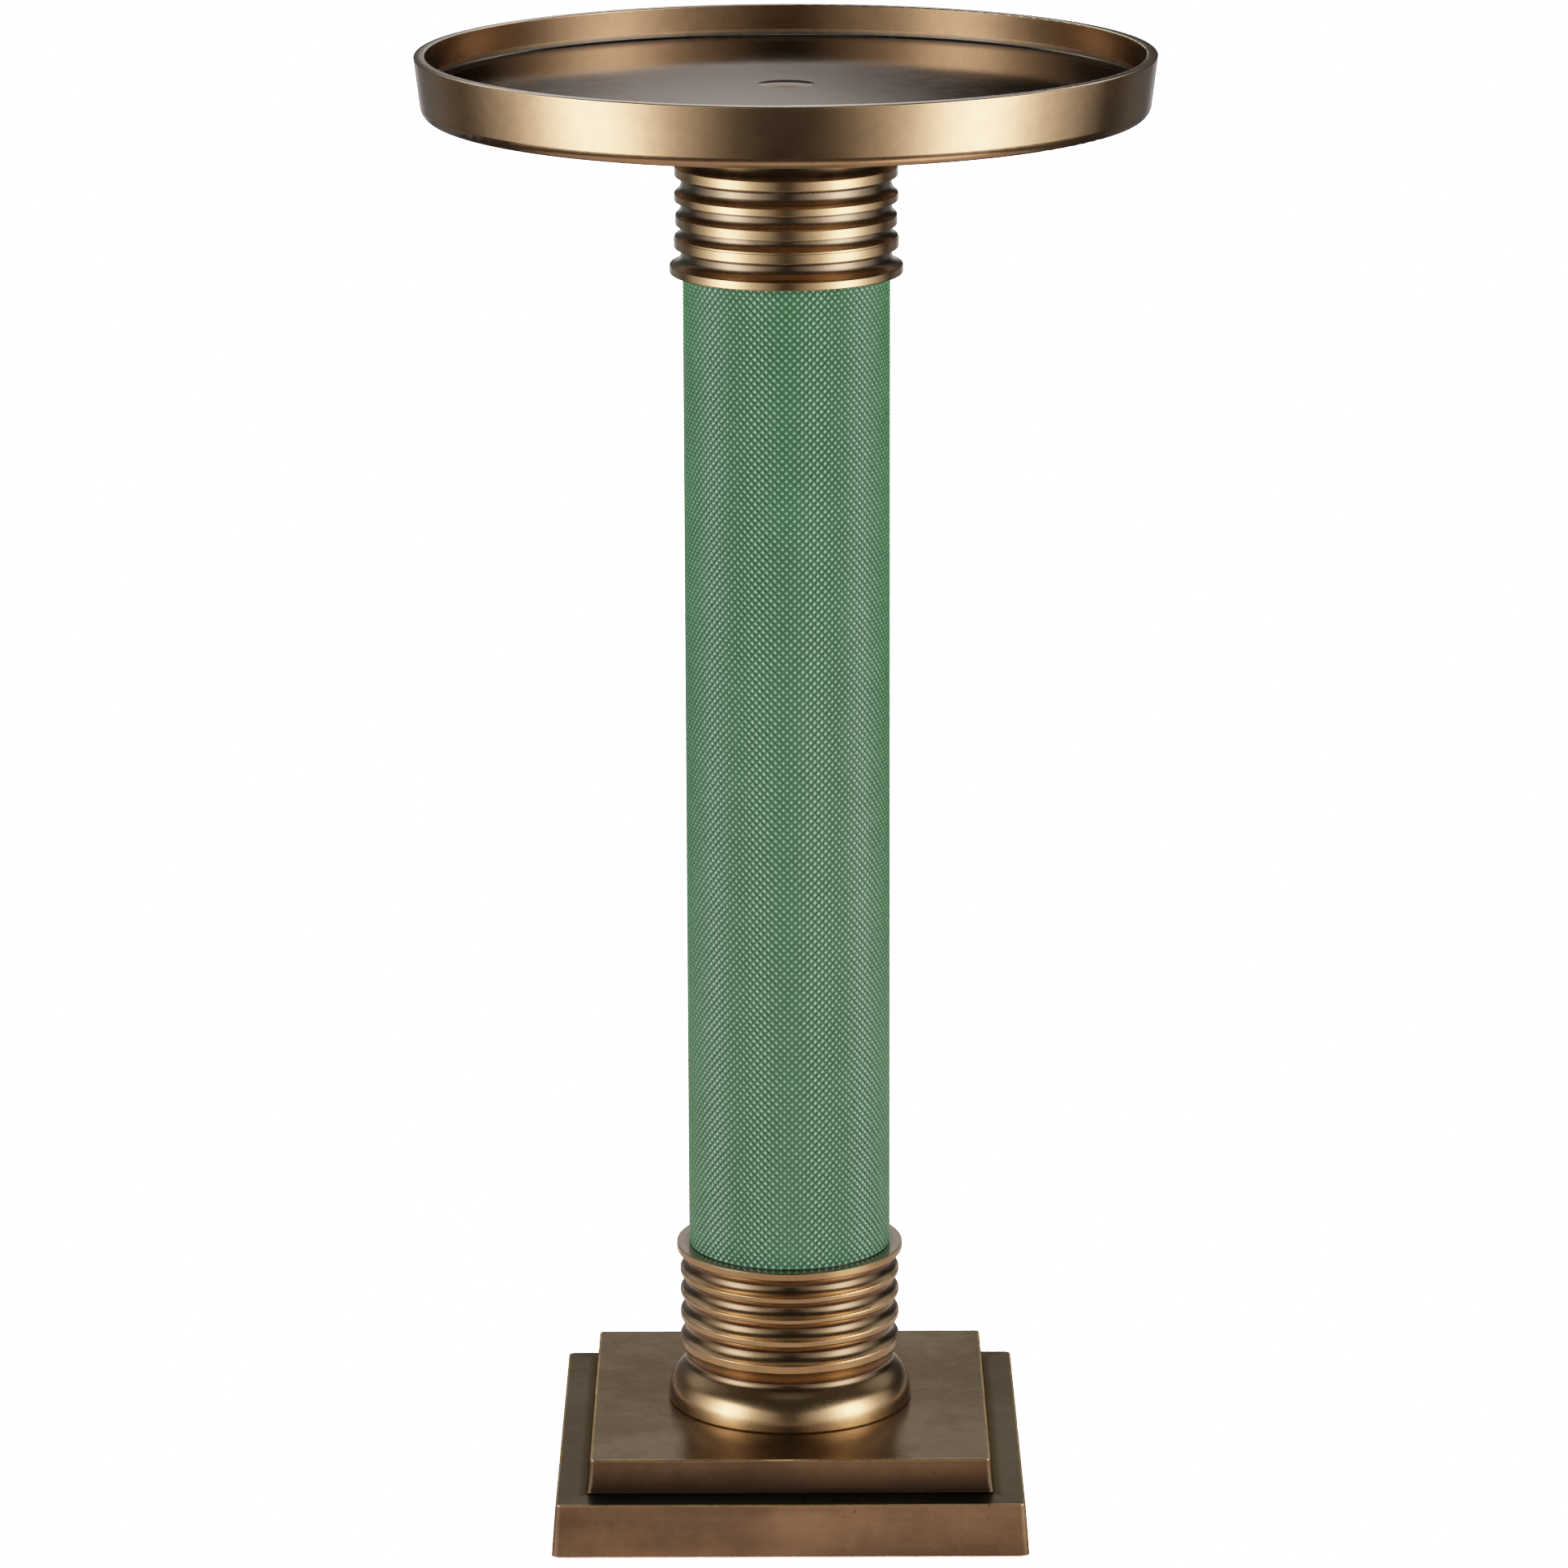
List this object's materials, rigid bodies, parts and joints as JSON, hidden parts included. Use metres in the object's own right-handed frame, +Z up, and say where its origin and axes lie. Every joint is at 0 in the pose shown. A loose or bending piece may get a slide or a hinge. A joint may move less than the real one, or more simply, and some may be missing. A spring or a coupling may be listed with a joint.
{
  "type": "round tray drinks table",
  "caption": "Round tray drinks table: lipped metal tray on a column wrapped in diamond-embossed green leather, with ribbed metal collars and a two-step square plinth.",
  "frame": {"origin": "on the floor, at the centre of the square plinth and under the column axis", "axes": "+Z up along the column axis; X and Y square with the sides of the plinth, and -Y is the side that faces the viewer, with the wrap's seam on +Y"},
  "size_m": [0.3012, 0.3012, 0.61],
  "materials": {
    "brass_tray": "cast aluminium, antique brass plated, satin",
    "brass_collar": "turned casting, antique brass plated, satin",
    "brass_plinth": "cast aluminium, antique brass plated, hand finished satin",
    "green_leather": "embossed diamond stud faux leather, satin",
    "rubber_black": "matt",
    "zinc_steel": "zinc plated",
    "black_fastener": "black oxide",
    "tube_steel": "drawn steel tube",
    "plug_wood": "turned beech",
    "ballast_iron": "as cast",
    "cover_board": "black board",
    "felt_pad": "felt"
  },
  "bodies": {
    "root": {"tray_top": "brass_tray", "tray_centre_cap": "brass_tray", "tray_gasket": "rubber_black", "tray_flange_plate": "zinc_steel", "tray_flange_screws": "black_fastener", "upper_collar": "brass_collar", "upper_end_plug": "plug_wood", "column_core_tube": "tube_steel", "column_wrap": "green_leather", "lower_end_plug": "plug_wood", "lower_collar": "brass_collar", "upper_plinth": "brass_plinth", "lower_plinth": "brass_plinth", "tie_rod": "zinc_steel", "upper_nut": "zinc_steel", "upper_washer": "zinc_steel", "lower_nut": "zinc_steel", "lower_washer": "zinc_steel", "lower_spring_washer": "zinc_steel", "ballast_plate": "ballast_iron", "ballast_screws": "zinc_steel", "plinth_screws": "zinc_steel", "locating_pins": "zinc_steel", "base_cover": "cover_board", "base_cover_screws": "black_fastener", "foot_pads": "felt_pad"}
  },
  "joints": []
}
